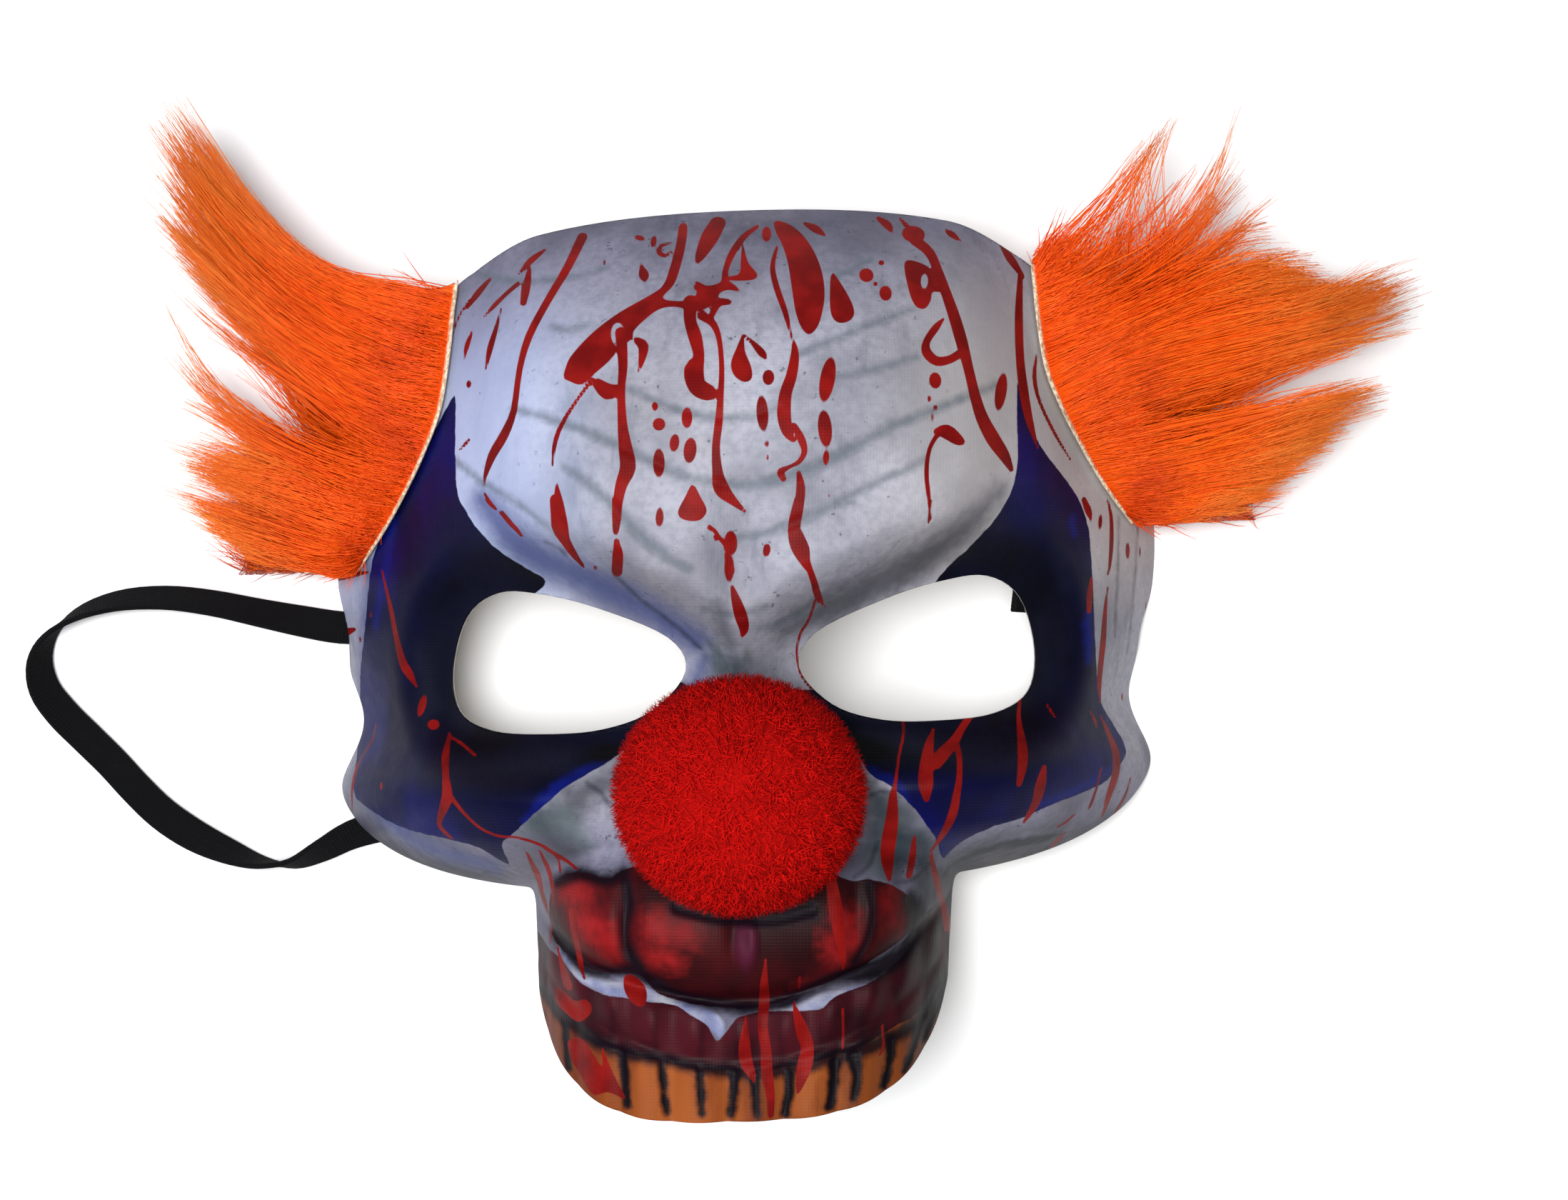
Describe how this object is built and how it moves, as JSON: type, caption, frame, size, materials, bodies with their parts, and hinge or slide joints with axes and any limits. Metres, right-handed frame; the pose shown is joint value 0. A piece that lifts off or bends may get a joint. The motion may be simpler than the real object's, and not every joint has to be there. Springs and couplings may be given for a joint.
{
  "type": "clown half mask",
  "caption": "Formed clown half mask with angry brow, toothed muzzle, red pompom nose, orange fur at the temples and a black elastic band.",
  "frame": {"origin": "on the table, under the middle of the box of the mask without its loose band", "axes": "+Z the way the face looks, away from the table; +Y towards the top of the head; +X towards the wearer's left side, the viewer's right"},
  "size_m": [0.291, 0.1996, 0.1083],
  "materials": {
    "printed_shell": "formed sheet faced with smooth printed cloth: grey-white forehead, navy eye sockets, red drips, maroon lips and gum, orange-brown teeth",
    "red_pompom": "dense cut yarn, matt",
    "orange_fur": "long straight synthetic pile, slight sheen",
    "black_elastic": "woven elastic with fine ribs along it, matt",
    "staple_wire": "bright wire"
  },
  "bodies": {
    "root": {"mask_shell": "printed_shell", "nose_pompom": "red_pompom", "left_fur_tuft": "orange_fur", "right_fur_tuft": "orange_fur", "elastic_strap": "black_elastic", "left_staple": "staple_wire", "right_staple": "staple_wire"}
  },
  "joints": []
}
